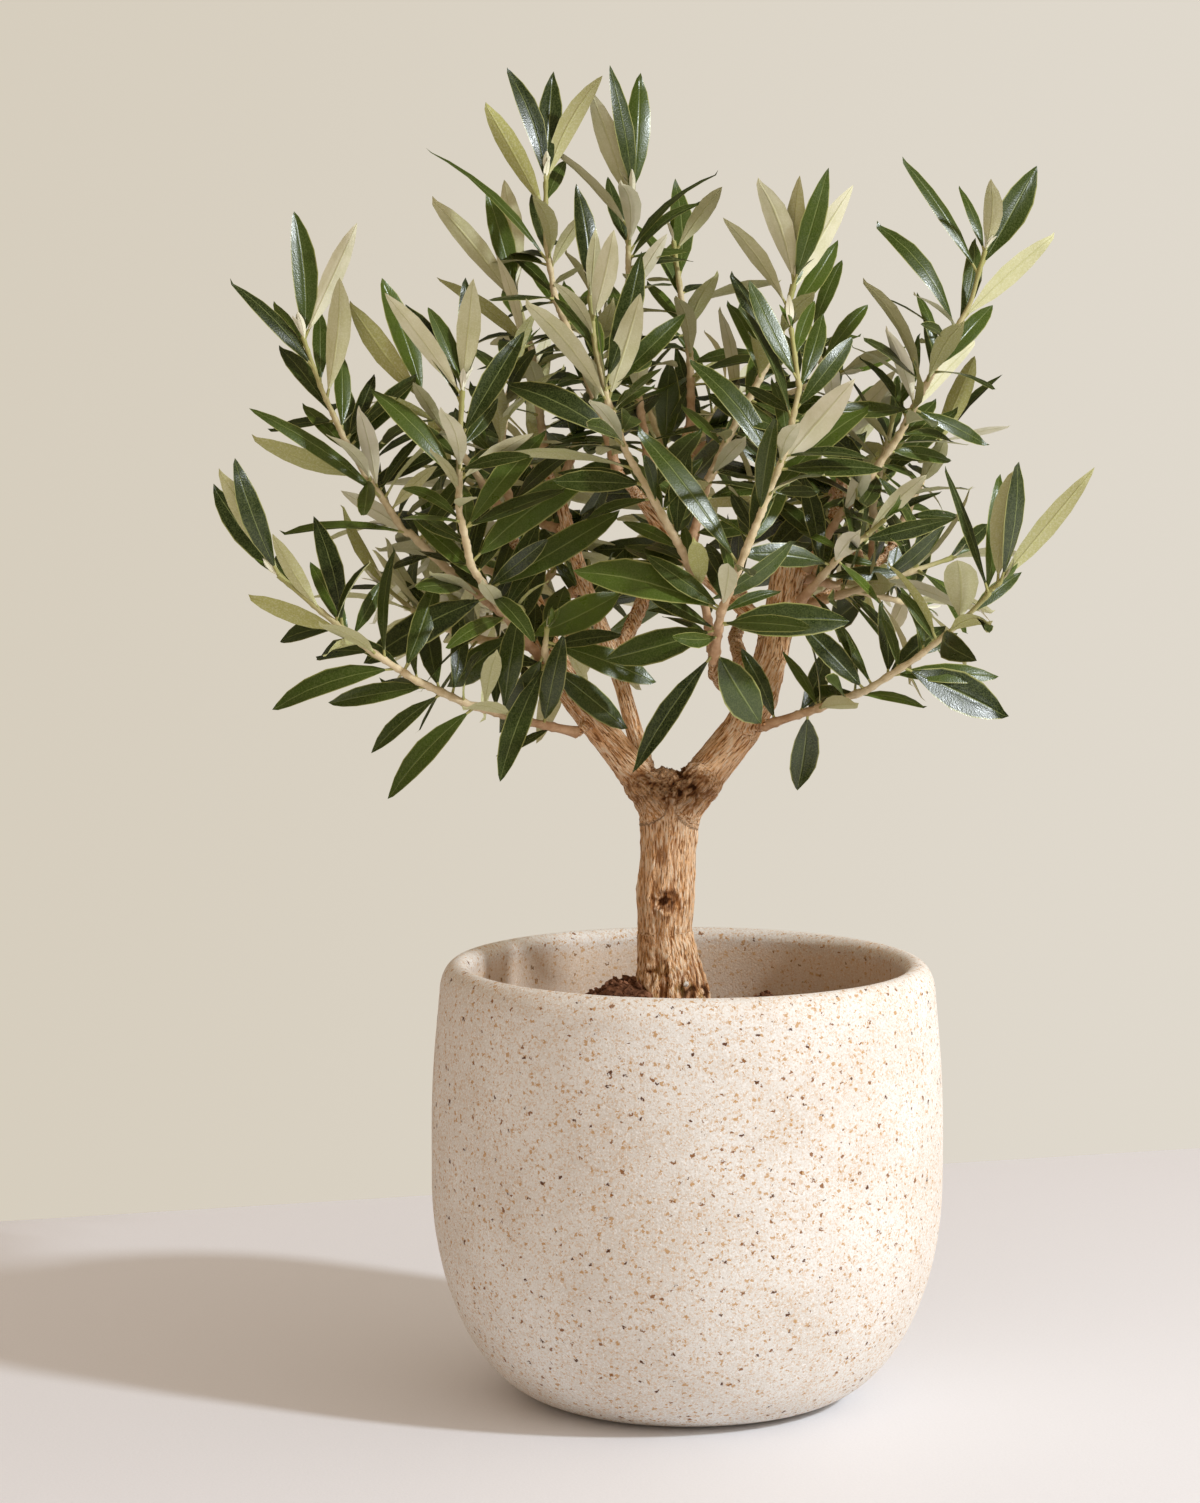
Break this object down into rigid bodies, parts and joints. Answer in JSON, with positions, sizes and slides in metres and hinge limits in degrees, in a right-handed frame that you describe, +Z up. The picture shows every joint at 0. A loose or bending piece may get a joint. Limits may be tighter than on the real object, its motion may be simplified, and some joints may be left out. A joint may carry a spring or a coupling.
{
  "type": "potted olive bonsai",
  "caption": "Small olive tree with a forked trunk and leafy shoots, standing in soil in a round stoneware pot.",
  "frame": {"origin": "centre of the pot's flat base", "axes": "+Z up; the front of the tree faces -Y"},
  "size_m": [0.3297, 0.2586, 0.5169],
  "materials": {
    "stoneware": "matte",
    "soil": "matte",
    "bark": "matte",
    "leaf": "satin"
  },
  "bodies": {
    "root": {"pot": "stoneware", "shoot_back_01": "leaf", "shoot_back_02": "leaf", "shoot_back_03": "leaf", "shoot_back_04": "leaf", "shoot_back_05": "leaf", "shoot_back_06": "leaf", "shoot_back_07": "leaf", "shoot_back_08": "leaf", "shoot_back_09": "leaf", "shoot_back_10": "leaf", "shoot_back_11": "leaf", "shoot_back_12": "leaf", "shoot_back_13": "leaf", "shoot_back_14": "leaf", "shoot_back_15": "leaf", "shoot_back_16": "leaf", "shoot_back_17": "leaf", "shoot_back_18": "leaf", "shoot_back_19": "leaf", "shoot_back_20": "leaf", "shoot_back_21": "leaf", "shoot_behind_left": "leaf", "shoot_behind_right": "leaf", "shoot_centre": "leaf", "shoot_centre_right": "leaf", "shoot_inner_left": "leaf", "shoot_inner_right": "leaf", "shoot_left_mid": "leaf", "shoot_left_up": "leaf", "shoot_limb_tip": "leaf", "shoot_low_left": "leaf", "shoot_low_right": "leaf", "shoot_right_inner": "leaf", "shoot_right_mid": "leaf", "shoot_right_up": "leaf", "shoot_top_behind": "leaf", "shoot_top_left": "leaf", "shoot_top_mid": "leaf", "soil": "soil", "trunk": "bark"}
  },
  "joints": []
}
